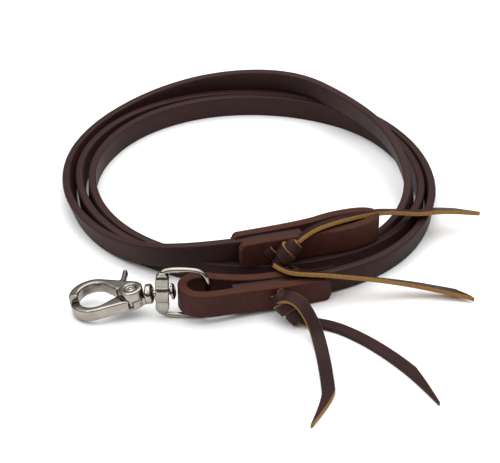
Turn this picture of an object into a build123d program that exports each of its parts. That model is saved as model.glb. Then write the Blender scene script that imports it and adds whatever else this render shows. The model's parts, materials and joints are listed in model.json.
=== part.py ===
# Western split-style barrel reins: one long leather strap stood on edge in a loose coil of three turns.
# A folded leather loop is laced to each end. One loop is open for the bit ring, the other holds the
# swivel dee of a scissor snap. Millimetres, +Z up, standing on z = 0, origin under the middle of its box.
from build123d import *
from math import cos, radians, sin, tan
import os

os.makedirs("parts", exist_ok=True)

# ---- Driving dimensions -------------------------------------------------------------------------
STRAP_WIDTH = 15.9        # five eighths of an inch, which stands upright in the coil
STRAP_THICK = 5.2         # heavy harness leather
LOOP_WIDTH = 17.0
LOOP_THICK = 5.8
LAYER_GAP = 0.25          # air left between two layers of leather
STACK_GAP = 0.3           # air left where one strand lies on another
LACE_WIDTH = 8.0
LACE_THICK = 2.2
LACE_HOLE_RADIUS = 2.6
LACE_CORE_RADIUS = 2.4    # the lace curled up where it goes through the punched holes
RAISE = STRAP_WIDTH + STACK_GAP
FAR = 400.0               # longer than anything here, for profiles that only cut

# ---- The coil -----------------------------------------------------------------------------------
# Each row is one turn: the radius of the route's point every 30 degrees, clockwise from 15 degrees
# past the front, seen from above.
COIL_CENTRE = (-12.0, 66.5)
FIRST_ANGLE = 15
ANGLE_STEP = 30
TURN_RADII = [
    [118.5, 120.0, 125.0, 128.0, 128.5, 126.0, 121.0, 104.0, 102.0, 111.0, 114.5, 107.6],
    [107.2, 107.5, 108.0, 110.0, 111.8, 111.4, 111.5, 115.0, 115.1, 120.4, 120.6, 113.3],
    [113.0, 114.0, 115.7, 120.2, 121.3, 118.0, 117.2, 120.8, 121.3, 128.5, 133.9, 132.5],
]
BIT_END = (19.0, -29.0)
SNAP_END = (-22.0, -73.0)
SNAP_END_LIFT = 4.0       # the last of the strap climbs a little, because the dee passes under its loop

# ---- The dee and snap ---------------------------------------------------------------------------
DEE_BAR_CENTRE = Vector(-65.5, -76.0, 17.0)
DEE_ROLL = 8.0            # degrees that the dee leans back from upright
DEE_WIRE_RADIUS = 1.75
DEE_REACH = 27.5          # from the middle of the bar to the middle of the bow's wire
DEE_HALF_HEIGHT = 15.3
BAR_DEPTH = 8.6           # along the swivel's axis
BAR_BREADTH = 9.6
BAR_HEIGHT = 25.0
SWIVEL_HOLE_RADIUS = 3.25
SHANK_RADIUS = 2.0
SNAP_DROOP = 10.7         # degrees that the snap hangs below the dee's axis, in the swivel's slack
SNAP_YAW = 5.0
HUB_OFFSET = 19.0         # from the bar's middle to the jaw's pivot
HUB_RADIUS = 7.5
HUB_HALF = 6.2
JAW_PIN_RADIUS = 2.2
RING_CENTRE = 24.5
RING_RADIUS = 14.5
EYE_CENTRE = 23.5
EYE_RADIUS = 9.5
EYE_POINT = 10.7
HINGE_GAP = 0.4
SPLIT_DRIFT = 3.5         # how far the split between the jaws wanders sideways by the tip
LEVER_X = 6.2
LEVER_HALF = 1.55
RIVET_HEAD_RADIUS = 3.7
RIVET_HEAD_DEPTH = 1.4
CAST_ROUND = 1.1         # how far casting and tumbling round the snap's edges
SPRING_RADIUS = 4.1
SPRING_WIRE_RADIUS = 0.45
SPRING_PITCH = 1.05
SPRING_LEG_FOOT = -2.4
SPRING_POCKET_RADIUS = 5.4


def coil_point(radius, degrees):
    """A plan point at an angle clockwise from the front of the coil."""
    turn = radians(degrees)
    return (COIL_CENTRE[0] - radius * sin(turn), COIL_CENTRE[1] - radius * cos(turn))


def rein_route():
    """The whole strap's route in plan, from its bit end to its snap end."""
    flat = [radius for turn in TURN_RADII for radius in turn]
    coil = [coil_point(radius, FIRST_ANGLE + ANGLE_STEP * i) for i, radius in enumerate(flat)]
    return [BIT_END] + coil + [SNAP_END]


def corner_radii(points):
    """For each inner point, 0.45 of the shorter run over the tangent of half the turn."""
    spots = [Vector(*p) for p in points]
    radii = []
    for before, here, after in zip(spots, spots[1:], spots[2:]):
        shorter = min((here - before).length, (after - here).length)
        half_turn = radians((here - before).get_angle(after - here)) / 2
        radii.append(0.45 * shorter / tan(half_turn))
    return radii


def midpoint(a, b):
    return tuple((p + q) / 2 for p, q in zip(a, b))


def ribbon(path, width):
    """A flat face of one width along a plan path of runs and arcs."""
    left = path.offset_2d(width / 2, side=Side.LEFT, closed=False)
    right = path.offset_2d(width / 2, side=Side.RIGHT, closed=False)
    ends = [Line(left @ 0, right @ 0), Line(left @ 1, right @ 1)]
    if (left @ 0 - path @ 0).length > width:
        ends = [Line(left @ 1, right @ 0), Line(left @ 0, right @ 1)]
    return make_face(left.edges() + right.edges() + ends)


def side_profile(plane, floor_line, height):
    """A slab that follows a floor line of (distance, z) points in an upright plane."""
    roof = [(d, z + height) for d, z in reversed(floor_line)]
    outline = plane * make_face(Polyline(*floor_line, *roof, close=True))
    return extrude(outline, FAR, both=True)


def route_span(points, radii, first, last):
    """The route from the middle of run `first` to the middle of run `last`, or to an end of it."""
    start = points[0] if first == 0 else midpoint(points[first], points[first + 1])
    end = points[-1] if last == len(points) - 1 else midpoint(points[last], points[last + 1])
    inner = points[first + 1:last + 1] if last < len(points) - 1 else points[first + 1:-1]
    kept = radii[first:first + len(inner)]
    return Wire(FilletPolyline(start, *inner, end, radius=kept).edges())


def rein_strap():
    """The strap, whose first turn starts on top of the others and crosses back over them."""
    points = rein_route()
    radii = corner_radii(points)
    print("rein corner radii", [round(r) for r in radii])
    left, right = -200.0, 200.0
    front_ramp = [(left, 0), (-97, 0), (-43, RAISE), (right, RAISE)]
    back_ramp = [(left, 0), (-127, 0), (-6, RAISE), (right, RAISE)]
    right_ramp = [(left, 0), (17, 0), (89, RAISE), (right, RAISE)]
    end_ramp = [(left, SNAP_END_LIFT * 4), (SNAP_END[0], SNAP_END_LIFT), (38, 0), (right, 0)]
    level = [(left, 0), (right, 0)]
    spans = [
        (0, 3, Plane.XZ, front_ramp),
        (3, 8, Plane.XZ, back_ramp),
        (8, 10, Plane.YZ, right_ramp),
        (10, len(points) - 3, Plane.XZ, level),
        (len(points) - 3, len(points) - 1, Plane.XZ, end_ramp),
    ]
    strap, length = None, 0.0
    for first, last, plane, floor_line in spans:
        path = route_span(points, radii, first, last)
        length += path.length
        prism = extrude(ribbon(path, STRAP_THICK), 3 * STRAP_WIDTH)
        piece = prism & side_profile(plane, floor_line, STRAP_WIDTH)
        strap = piece if strap is None else strap + piece
    print("rein length", round(length), "volume", round(strap.volume),
          "section times length", round(length * STRAP_WIDTH * STRAP_THICK))
    return strap


# ---- The folded loops at the ends ---------------------------------------------------------------
LAYER_STEP = (STRAP_THICK + LOOP_THICK) / 2 + LAYER_GAP   # from the strap's middle to a leg's middle
BIT_EYE_TIP = 52.0        # how far the bit loop reaches past the strap's end
SNAP_BEND_LEFT = -52.7    # the plan position of the snap loop's bend
SNAP_BEND_RADIUS = 8.6
SNAP_BEND_LIFT = 6.5      # the loop's lower edge at the bend, above the dee's wire
SNAP_LEG_RIGHT = 38.0     # where the loop's legs lie level again
LEG_BLANK = 24.0          # how far each leg is drawn round the coil before it is cut to length
FRONT_LEG_END = 37.0
BACK_LEG_END = 47.5       # along the snap frame


def bit_frame():
    """A plane at the strap's bit end, with x along the loop towards its tip and z up."""
    start, following = rein_route()[:2]
    along = Vector(*start) - Vector(*following)
    return Plane(origin=(*start, 0), x_dir=along, z_dir=(0, 0, 1))


def bit_end_loop():
    """The open loop: two legs either side of the strap, and a teardrop eye past its end."""
    step = LAYER_STEP
    line = [(-40, -step), (8, -step), (30, -step - 1.8), (BIT_EYE_TIP, -1.2), (BIT_EYE_TIP - 1.5, 10),
            (26, 11.5), (4, step), (-42, step)]
    path = Wire(FilletPolyline(*line, radius=[60, 40, 5.2, 5.0, 22, 22]).edges())
    blank = extrude(bit_frame() * ribbon(path, LOOP_THICK), RAISE + LOOP_WIDTH)
    blank &= Pos(0, 0, RAISE) * Box(FAR, FAR, LOOP_WIDTH, align=(Align.CENTER, Align.CENTER, Align.MIN))
    return blank - bit_holes()


def snap_legs():
    """The front and back legs' points, a layer's step either side of the strap's last two runs."""
    route = rein_route()
    last_run = Vector(*route[-1]) - Vector(*route[-2])
    run_before = Vector(*route[-2]) - Vector(*route[-3])
    start = Vector(*route[-2]) - run_before.normalized() * LEG_BLANK
    across = Vector(-last_run.Y, last_run.X).normalized()
    across_before = Vector(-run_before.Y, run_before.X).normalized()
    corner_across = (across + across_before).normalized()
    return [
        (start + across_before * LAYER_STEP * side,
         Vector(*route[-2]) + corner_across * LAYER_STEP * side,
         Vector(*route[-1]) + across * LAYER_STEP * side)
        for side in (1, -1)
    ]


def snap_end_loop():
    """The loop that holds the dee, bent round a short eye and climbing towards its bend."""
    front, back = snap_legs()
    eye = [(SNAP_BEND_LEFT, -85.2), (SNAP_BEND_LEFT, -64.4), (-27, -65.6), (-7.0, -63.15)]
    line = [(p.X, p.Y) for p in front] + eye + [(p.X, p.Y) for p in reversed(back)][1:]
    turn = corner_radii(rein_route())[-1]
    bend = SNAP_BEND_RADIUS
    radii = [turn + LAYER_STEP, 60, bend, bend, 40, 60, turn - LAYER_STEP]
    blank = extrude(ribbon(Wire(FilletPolyline(*line, radius=radii).edges()), LOOP_THICK), 3 * LOOP_WIDTH)
    slope = SNAP_BEND_LIFT / (SNAP_LEG_RIGHT - SNAP_BEND_LEFT)
    far_left = -200.0
    floor_line = [(far_left, slope * (SNAP_LEG_RIGHT - far_left)), (SNAP_LEG_RIGHT, 0), (200, 0)]
    loop = blank & side_profile(Plane.XZ, floor_line, LOOP_WIDTH)
    loop -= Pos(FRONT_LEG_END + 50, -60, 0) * Box(100, 100, 100)
    loop -= snap_frame() * slab((BACK_LEG_END, 100), (2.2, 50), (-10, 60))
    return loop - snap_holes()


# ---- The lace that ties each loop ---------------------------------------------------------------
# One strip of latigo goes through two punched holes, is knotted in front, and leaves two long tails.
BIT_HOLE_SPOTS = (-21.0, -7.5)     # along the loop from the strap's end
BIT_HOLE_HEIGHT = RAISE + 9.5
SNAP_HOLE_SPOTS = (20.5, 33.0)     # along the last run from the strap's end, backwards
SNAP_HOLE_HEIGHT = 11.0
BRIDGE_GAP = 0.45         # air between the back leg and the flat of the stitch across it
BIT_KNOT_SPOT = -13.3
BIT_KNOT_HEIGHT = 27.0
SNAP_KNOT_SPOT = 29.3
SNAP_KNOT_HEIGHT = 8.6
KNOT_SIZE = (19.0, 12.5, 17.0)
POINT_LENGTH = 24.0       # how much of a tail's end is cut to a point
POINT_HALF = 1.3
POINT_OVERRUN = 0.6
SANDWICH = STRAP_THICK / 2 + LAYER_GAP + LOOP_THICK   # from the strap's middle to a leg's outer face


def snap_frame():
    """A plane at the strap's snap end, with x back along the strap and z up."""
    route = rein_route()
    along = Vector(*route[-2]) - Vector(*route[-1])
    return Plane(origin=(*route[-1], 0), x_dir=along, z_dir=(0, 0, 1))


def across_pin(spot, height, radius, y_low, y_high):
    """A round pin along a loop frame's y axis."""
    middle = (y_low + y_high) / 2
    return Pos(spot, middle, height) * Rot(90, 0, 0) * Cylinder(radius, y_high - y_low)


def pins(frame, spots, height, radius, y_low, y_high):
    return [frame * across_pin(spot, height, radius, y_low, y_high) for spot in spots]


def bit_holes():
    return pins(bit_frame(), BIT_HOLE_SPOTS, BIT_HOLE_HEIGHT, LACE_HOLE_RADIUS, -20, 20)


def snap_holes():
    return pins(snap_frame(), SNAP_HOLE_SPOTS, SNAP_HOLE_HEIGHT, LACE_HOLE_RADIUS, -20, 20)


def lace_stitch(frame, spots, height):
    """The lace inside the sandwich: two cores, and the flat bridge between them at the back."""
    face = SANDWICH + BRIDGE_GAP
    front = SANDWICH + 0.1
    cores = [across_pin(spot, height, LACE_CORE_RADIUS, -front, face + LACE_THICK / 2) for spot in spots]
    bridge = Pos(sum(spots) / 2, face + LACE_THICK / 2, height) * Box(
        abs(spots[1] - spots[0]) + 6.5, LACE_THICK, LACE_WIDTH - 1)
    return frame * (bridge + cores)


def lace_knot(frame, spot, height, size):
    """The knot's closed outer shape, a rounded block against the loop's front face."""
    length, depth, tall = size
    block = fillet(Box(length, depth, tall).edges(), 0.45 * depth)
    return frame * (Pos(spot, -SANDWICH - 0.3 - depth / 2, height) * block)


def bit_lace_knot():
    return lace_knot(bit_frame(), BIT_KNOT_SPOT, BIT_KNOT_HEIGHT, KNOT_SIZE)


def snap_lace_knot():
    return lace_knot(snap_frame(), SNAP_KNOT_SPOT, SNAP_KNOT_HEIGHT, KNOT_SIZE)


def lace_tail(name, plan, plane, line, turned):
    """A flat tail: its plan, pointed at the end, cut by a side profile one lace thick."""
    radii = corner_radii(plan)
    path = Wire(FilletPolyline(*plan, radius=radii).edges())
    band = extrude(ribbon(path, LACE_WIDTH), FAR / 2)
    spine = Wire(FilletPolyline(*line, radius=turned).edges())
    slab = extrude(plane * ribbon(spine, LACE_THICK), FAR, both=True)
    tip, before = Vector(*plan[-1]), Vector(*plan[-2])
    cut = Plane(origin=(tip.X, tip.Y, 0), x_dir=tip - before, z_dir=(0, 0, 1))
    shave = make_face(Polyline((POINT_OVERRUN, -LACE_WIDTH), (POINT_OVERRUN, -POINT_HALF), (-POINT_LENGTH, -4.4),
                               (-POINT_LENGTH, -LACE_WIDTH), close=True))
    tail = (band & slab) - [cut * extrude(shave, FAR / 2), cut * extrude(mirror(shave, about=Plane.XZ), FAR / 2)]
    print(name, "length", round(path.length), "radii", [round(r) for r in radii], "volume", round(tail.volume))
    return tail


def largest(shape):
    return max(shape.solids(), key=lambda solid: solid.volume)


def bit_lace_upper_tail():
    plan = [(19.5, -38.6), (40, -24.6), (71, -4.4), (98, 11), (136.8, 27.0)]
    line = [(15, 34.7), (71.2, 34.7), (98, 19.2), (113, 17.6), (137.1, 8)]
    return largest(lace_tail("bit_lace_upper_tail", plan, Plane.XZ, line, [8, 20, 20]) - bit_lace_knot())


def bit_lace_lower_tail():
    plan = [(10.5, -56.5), (17, -61.2), (34, -60.2), (62, -55.4), (98, -54), (127.6, -59.5)]
    line = [(5, 20.8), (20, 20.8), (37, 18.7), (52, 15.2), (70, 10.8), (104, 4.0), (127.9, 1.3)]
    return largest(lace_tail("bit_lace_lower_tail", plan, Plane.XZ, line, [12, 20, 20, 30, 40]) - bit_lace_knot())


def snap_lace_front_tail():
    plan = [(14.5, -86.5), (21, -93), (28.5, -104), (32.5, -128), (34.3, -160), (25.8, -188.4)]
    line = [(-80, 19.6), (-91, 19.6), (-98.5, 8.5), (-106, 2.2), (-119, 1.15), (-188.7, 1.12)]
    return largest(lace_tail("snap_lace_front_tail", plan, Plane.YZ, line, [4, 8, 8, 30]) - snap_lace_knot())


def snap_lace_side_tail():
    plan = [(24, -86), (38, -91), (63, -109.6), (81, -132), (96.4, -163.8)]
    line = [(20, 1.25), (48, 1.15), (70, 1.2), (96.7, 1.12)]
    return largest(lace_tail("snap_lace_side_tail", plan, Plane.XZ, line, [200, 200]) - snap_lace_knot())


# ---- The swivel dee and the scissor snap --------------------------------------------------------

def dee_frame():
    lean = radians(DEE_ROLL)
    return Plane(origin=DEE_BAR_CENTRE, x_dir=(1, 0, 0), z_dir=(0, sin(lean), cos(lean)))


def swivel_dee():
    """A thick bar bored for the swivel, and a round bow that starts and ends in the bar."""
    bar = fillet(Box(BAR_DEPTH, BAR_BREADTH, BAR_HEIGHT).edges(), 1.2)
    bar -= Rot(0, 90, 0) * Cylinder(SWIVEL_HOLE_RADIUS, 2 * BAR_DEPTH)
    tall = DEE_HALF_HEIGHT
    points = [(-0.5, 0, 10.5), (3, 0, tall), (DEE_REACH, 0, tall), (DEE_REACH, 0, -tall), (3, 0, -tall),
              (-0.5, 0, -10.5)]
    bow = FilletPolyline(*points, radius=[3, tall - 0.1, tall - 0.1, 3])
    wire = sweep(Plane(origin=bow @ 0, z_dir=bow % 0) * Circle(DEE_WIRE_RADIUS), path=bow)
    return dee_frame() * (bar + wire)


def snap_plane():
    """The snap's own frame: x towards its tip, z up through the jaw rivet, origin in the hub."""
    droop, yaw = radians(SNAP_DROOP), radians(SNAP_YAW)
    along = Vector(-cos(droop) * cos(yaw), cos(droop) * sin(yaw), -sin(droop))
    up = Vector(-sin(droop) * cos(yaw), sin(droop) * sin(yaw), cos(droop))
    return Plane(origin=DEE_BAR_CENTRE + along * HUB_OFFSET, x_dir=along, z_dir=up)


def turned_part(profile):
    """A solid turned about the snap's long axis, from (x, radius) points."""
    corners = [(x, 0, radius) for x, radius in profile]
    return revolve(make_face(Polyline(*corners, close=True)), Axis.X)


def barrel_x(from_bar):
    """A place along the snap, measured from the dee's bar, in the hub's frame."""
    return from_bar - HUB_OFFSET


def swivel_rivet():
    head = [(barrel_x(-5.35), 0), (barrel_x(-5.35), 3.4), (barrel_x(-6.2), 5.2), (barrel_x(-7.2), 4.8),
            (barrel_x(-8.0), 3.2), (barrel_x(-8.0), 0)]
    shank = [(barrel_x(-5.6), 0), (barrel_x(-5.6), SHANK_RADIUS), (barrel_x(11.0), SHANK_RADIUS), (barrel_x(11.0), 0)]
    return snap_plane() * (turned_part(head) + turned_part(shank))


def disc(radius, low, high, x=0, y=0):
    return Pos(x, y, (low + high) / 2) * Cylinder(radius, high - low)


def slab(x_range, y_range, z_range):
    spans = (x_range, y_range, z_range)
    middle = [(low + high) / 2 for low, high in spans]
    return Pos(*middle) * Box(*[high - low for low, high in spans])


def rounded_disc(radius, low, high, round_top):
    """A disc with its top or bottom rim rounded."""
    blank = disc(radius, low, high)
    rim = blank.edges().group_by(Axis.Z)[-1 if round_top else 0]
    return fillet(rim, CAST_ROUND)


def ring_blank(low, high, side):
    """One jaw: half of the pear-shaped ring, rounded and split lengthwise, between two heights."""
    outer = make_hull((Circle(HUB_RADIUS) + Pos(RING_CENTRE, 0) * Circle(RING_RADIUS)).edges())
    inner = make_hull((Pos(EYE_POINT, 0) * Circle(1.2) + Pos(EYE_CENTRE, 0) * Circle(EYE_RADIUS)).edges())
    ring = extrude(outer - inner, high - low)
    levels = ring.edges().group_by(Axis.Z)
    ring = fillet(levels[0] + levels[-1], CAST_ROUND)
    drift = SPLIT_DRIFT / (RING_CENTRE + RING_RADIUS - EYE_POINT)
    edge = side * HINGE_GAP / 2
    half = make_face(Polyline((-20, -30 * drift + edge), (60, 50 * drift + edge), (60, side * 40), (-20, side * 40),
                              close=True))
    return Pos(0, 0, low) * (ring & extrude(half, high - low))


def snap_body():
    """The fixed half: barrel bored for the swivel, hub base, and the near jaw with its hook slot."""
    lip = CAST_ROUND / 2
    barrel = turned_part([(barrel_x(5.35), 0), (barrel_x(5.35), 3.4), (barrel_x(6.4), HUB_HALF - lip),
                          (barrel_x(6.4) + lip, HUB_HALF), (-8.7 - lip, HUB_HALF), (-8.7, HUB_HALF - lip), (-8.7, 0)])
    neck = fillet(slab((-12, -4), (-3.6, 3.6), (-5.5, -0.6)).edges().filter_by(Axis.X), CAST_ROUND / 2)
    base = rounded_disc(HUB_RADIUS, -HUB_HALF, -0.6, False)
    jaw = ring_blank(-HUB_HALF, 1.6, 1) - disc(HUB_RADIUS + 0.2, -0.6, 10)
    body = barrel + neck + base + jaw
    body -= turned_part([(-30, 0), (-30, SHANK_RADIUS + 0.05), (barrel_x(11.05), SHANK_RADIUS + 0.05),
                         (barrel_x(11.05), 0)])
    body -= slab((-1.2, 1.6), (5.0, 9.0), (-4.6, 0))
    body -= disc(JAW_PIN_RADIUS, -10, 0)
    body -= disc(RIVET_HEAD_RADIUS, -10, -HUB_HALF + RIVET_HEAD_DEPTH)
    body -= disc(SPRING_WIRE_RADIUS + 0.1, SPRING_LEG_FOOT - 0.1, 0, x=SPRING_RADIUS)
    return snap_plane() * body


def trigger_jaw():
    """The moving half: hub disc over the base, the far jaw, and the thumb lever."""
    hub = rounded_disc(HUB_RADIUS, -0.4, HUB_HALF, True)
    jaw = ring_blank(-1.5, HUB_HALF, -1) - disc(HUB_RADIUS + 0.2, -10, -0.4)
    lever = slab((LEVER_X - LEVER_HALF, LEVER_X + LEVER_HALF), (-21, -5), (2, HUB_HALF))
    trigger = hub + jaw + fillet(lever.edges(), 0.9)
    trigger -= disc(JAW_PIN_RADIUS + 0.1, -10, 10)
    trigger -= disc(RIVET_HEAD_RADIUS, HUB_HALF - RIVET_HEAD_DEPTH - 0.1, 10)
    trigger -= disc(SPRING_POCKET_RADIUS, -1, 3.0)
    return snap_plane() * trigger


def jaw_rivet():
    head = RIVET_HEAD_RADIUS - 0.2
    rivet = disc(JAW_PIN_RADIUS, -HUB_HALF + 0.5, HUB_HALF - 0.5)
    top = disc(head, HUB_HALF - RIVET_HEAD_DEPTH, HUB_HALF - 0.3)
    bottom = disc(RIVET_HEAD_RADIUS, -HUB_HALF + 0.2, -HUB_HALF + RIVET_HEAD_DEPTH)
    return snap_plane() * (rivet + top + bottom)


def trigger_spring():
    """A flat coil round the jaw rivet, its lower end turned down into the base."""
    coil = Helix(pitch=SPRING_PITCH, height=2.25 * SPRING_PITCH, radius=SPRING_RADIUS)
    wire = sweep(Plane(origin=coil @ 0, z_dir=coil % 0) * Circle(SPRING_WIRE_RADIUS), path=coil)
    floor = -0.4 + SPRING_WIRE_RADIUS + 0.1
    leg = disc(SPRING_WIRE_RADIUS, SPRING_LEG_FOOT, floor, x=SPRING_RADIUS)
    elbow = Pos(SPRING_RADIUS, 0, floor) * Sphere(SPRING_WIRE_RADIUS)
    return snap_plane() * (Pos(0, 0, floor) * wire + leg + elbow)


def build():
    bores = bit_holes() + snap_holes()
    pieces = {
        "rein_strap": rein_strap() - bores,
        "bit_end_loop": bit_end_loop(),
        "snap_end_loop": snap_end_loop(),
        "bit_lace_stitch": lace_stitch(bit_frame(), BIT_HOLE_SPOTS, BIT_HOLE_HEIGHT),
        "bit_lace_knot": bit_lace_knot(),
        "bit_lace_upper_tail": bit_lace_upper_tail(),
        "bit_lace_lower_tail": bit_lace_lower_tail(),
        "snap_lace_stitch": lace_stitch(snap_frame(), SNAP_HOLE_SPOTS, SNAP_HOLE_HEIGHT),
        "snap_lace_knot": snap_lace_knot(),
        "snap_lace_front_tail": snap_lace_front_tail(),
        "snap_lace_side_tail": snap_lace_side_tail(),
        "swivel_dee": swivel_dee(),
        "swivel_rivet": swivel_rivet(),
        "snap_body": snap_body(),
        "trigger_jaw": trigger_jaw(),
        "jaw_rivet": jaw_rivet(),
        "trigger_spring": trigger_spring(),
    }
    for name, shape in pieces.items():
        shape.label = name
        export_step(shape, f"parts/{name}.step")
        box = shape.bounding_box()
        print(name, "solids", len(shape.solids()), "volume", round(shape.volume, 1),
              "box", [round(value, 1) for value in (*box.min, *box.max)])


if __name__ == "__main__":
    build()
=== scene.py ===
# %% [markdown]
# # Leather reins, coiled on a table
#
# Reins are one long leather strap with a fitting at each end. These are stored the way a tack shop shows
# them: the strap stands on its lower edge in three loose turns, and both ends come together at the front.
# Everything soft is built here around the same points that the CAD used, because leather needs rounded
# edges, a lean and a grain that a plain solid lacks. The castings are worn copies of their CAD solids,
# the dee and the jaw's rivet are drawn again with the roundness of cast metal, and the swivel's rivet and
# the spring are the CAD's own.

# %% Load the frame
import json

import bmesh
import bpy
import numpy as np
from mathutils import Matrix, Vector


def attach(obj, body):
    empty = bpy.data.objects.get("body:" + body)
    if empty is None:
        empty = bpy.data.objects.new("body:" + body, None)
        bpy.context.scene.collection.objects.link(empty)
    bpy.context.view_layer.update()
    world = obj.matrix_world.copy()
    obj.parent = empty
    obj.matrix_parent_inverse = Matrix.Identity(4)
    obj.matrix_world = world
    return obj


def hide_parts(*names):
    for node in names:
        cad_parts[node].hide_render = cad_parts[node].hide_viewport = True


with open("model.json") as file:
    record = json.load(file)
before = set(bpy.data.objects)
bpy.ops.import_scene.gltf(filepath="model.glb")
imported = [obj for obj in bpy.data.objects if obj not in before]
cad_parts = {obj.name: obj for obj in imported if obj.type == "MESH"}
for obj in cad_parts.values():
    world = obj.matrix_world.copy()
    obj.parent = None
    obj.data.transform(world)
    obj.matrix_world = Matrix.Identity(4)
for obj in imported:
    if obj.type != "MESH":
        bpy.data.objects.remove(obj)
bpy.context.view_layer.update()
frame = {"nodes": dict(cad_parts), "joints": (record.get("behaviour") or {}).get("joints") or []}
MM = 0.001

# %% [markdown]
# ## The camera
#
# Small goods like these are shot from a third of a right angle above the table, with a long lens so that
# the coil keeps its roundness. A camera looks along its own -Z axis, so it is turned until its Z axis
# points away from the aim. Lamps do the same, and one helper serves both.

# %% Camera
CAMERA_SPOT = (-0.012, -1.0508, 0.6944)
CAMERA_AIM = (-0.012, 0.0185, 0.0)


def look_at(thing, spot, aim):
    """Places a camera or lamp at spot with its -Z axis towards aim."""
    away = Vector(np.subtract(spot, aim))
    thing.location = spot
    thing.rotation_mode = "QUATERNION"
    thing.rotation_quaternion = away.to_track_quat("Z", "Y")


camera_data = bpy.data.cameras.new("table_camera")
camera_data.lens = 140
camera_data.sensor_width = 36
camera = bpy.data.objects.new("table_camera", camera_data)
bpy.context.scene.collection.objects.link(camera)
look_at(camera, CAMERA_SPOT, CAMERA_AIM)
bpy.context.scene.camera = camera
print("camera", round(float(np.linalg.norm(np.subtract(CAMERA_SPOT, CAMERA_AIM))), 3), "m from its aim")

# %% [markdown]
# ## How colours and nodes are written
#
# Paint and leather colours are easiest to match as sRGB hex values, the numbers a screen colour picker
# shows. Blender's shaders want linear light, so one function does that change for all of them. A second
# small function adds any node with its settings and its links, so each material below reads as a list of
# what it is made of.

# %% Colours and nodes
def linear(hex_colour):
    """sRGB hex to linear RGBA: c/12.92 below 0.04045, else ((c + 0.055)/1.055)^2.4."""
    c = np.array([int(hex_colour[i:i + 2], 16) for i in (1, 3, 5)]) / 255
    c = np.where(c <= 0.04045, c / 12.92, ((c + 0.055) / 1.055) ** 2.4)
    return (*c.tolist(), 1.0)


def add(tree, kind, settings=None, **links):
    """Adds one node. settings are its attributes, its socket values by name or number, or the (place, hex
    colour) stops of a colour ramp. links name the sockets and what feeds them: Fac=..., or _0=... for the
    first one."""
    node = tree.nodes.new(kind)
    for key, value in (settings or {}).items():
        if key == "stops":
            elements = node.color_ramp.elements
            while len(elements) < len(value):
                elements.new(0.5)
            for element, (place, hex_colour) in zip(elements, value):
                element.position = place
                element.color = linear(hex_colour)
        elif isinstance(key, int) or key in node.inputs:
            node.inputs[key].default_value = value
        else:
            setattr(node, key, value)
    for key, source in links.items():
        target = node.inputs[int(key[1:])] if key[0] == "_" else node.inputs[key]
        tree.links.new(source, target)
    return node


def new_material(name):
    """A material with a bare Principled shader; returns the material, its tree and the shader node."""
    material = bpy.data.materials.new(name)
    material.use_nodes = True
    tree = material.node_tree
    tree.nodes.clear()
    shader = add(tree, "ShaderNodeBsdfPrincipled")
    out = add(tree, "ShaderNodeOutputMaterial")
    tree.links.new(shader.outputs["BSDF"], out.inputs["Surface"])
    return material, tree, shader


print("mid grey #808080 is", round(linear("#808080")[0], 3), "in linear light")

# %% [markdown]
# ## The table and the room
#
# The room is a world colour that changes with height: dark up to about 20 degrees, then brightening to
# white overhead. The bare Background node has one colour only, so the direction of view is split and its
# height drives a ramp.

# %% The table
FLOOR_SIDE = 6.0
reach = FLOOR_SIDE / 2
floor_mesh = bpy.data.meshes.new("table_sheet")
floor_mesh.from_pydata([(-reach, -reach, 0), (reach, -reach, 0), (reach, reach, 0), (-reach, reach, 0)],
                       [], [(0, 1, 2, 3)])
floor = bpy.data.objects.new("table_sheet", floor_mesh)
bpy.context.scene.collection.objects.link(floor)
paper, _, paper_shader = new_material("matt white paper")
paper_shader.inputs["Base Color"].default_value = linear("#fbfbfb")
paper_shader.inputs["Roughness"].default_value = 0.9
paper_shader.inputs["Specular IOR Level"].default_value = 0.1
floor_mesh.materials.append(paper)
print("table", FLOOR_SIDE, "m square")

# %% The room
ROOM_GLOW = 1.85

world = bpy.data.worlds.new("studio")
world.use_nodes = True
room = world.node_tree
height = add(room, "ShaderNodeSeparateXYZ", {}, _0=add(room, "ShaderNodeTexCoord").outputs["Generated"])
glow = add(room, "ShaderNodeValToRGB", {"stops": [
    (0.0, "#3c3c3e"), (0.36, "#48484a"), (0.5, "#8f9092"), (0.7, "#f1f2f2"), (1.0, "#ffffff")]},
    Fac=height.outputs["Z"])
seen = add(room, "ShaderNodeLightPath").outputs["Is Camera Ray"]
backdrop = add(room, "ShaderNodeMix", {"data_type": "RGBA", 7: linear("#c1c1c2")},
               _0=seen, _6=glow.outputs["Color"])
room.links.new(backdrop.outputs[2], room.nodes["Background"].inputs["Color"])
room.nodes["Background"].inputs["Strength"].default_value = ROOM_GLOW
bpy.context.scene.world = world
print("room glow", ROOM_GLOW)

# %% [markdown]
# ## The lamps
#
# A big soft box overhead gives the floor its even white and the upright strap a soft line along its upper
# edge. A smaller one at the left models the metal. Sun lamps would give hard shadows, and a bright room
# alone would leave nickel blank, because nickel shows nothing but what it reflects. That is also why the
# room is dark near the table. Seen straight on, past the table's edge, the backdrop is as pale as the
# table.

# %% The lamps
def soft_box(name, spot, aim, side, watts):
    """A square area lamp of that side in metres."""
    lamp = bpy.data.lights.new(name, "AREA")
    lamp.size = side
    lamp.energy = watts
    box = bpy.data.objects.new(name, lamp)
    bpy.context.scene.collection.objects.link(box)
    look_at(box, spot, aim)


soft_box("overhead_box", (0.0, 0.3, 1.4), (0, 0, 0), 1.6, 9)
soft_box("left_box", (-0.9, -0.7, 1.0), (0, 0, 0), 0.35, 1.6)
bpy.context.scene.view_settings.view_transform = "Standard"
print("two soft boxes, standard colours")


# %% [markdown]
# ## Lines that leather follows
#
# Stiff leather never turns a corner: it eases from one direction to the next. A quadratic NURBS curve
# does the same, touching the middle of each run of its control points, and it needs few of them. The
# curve is turned into points once, and the rest is plain arithmetic on arrays: how far along each point
# is, and which way the line goes there.

# %% Lines
STEPS_PER_RUN = 24


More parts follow.
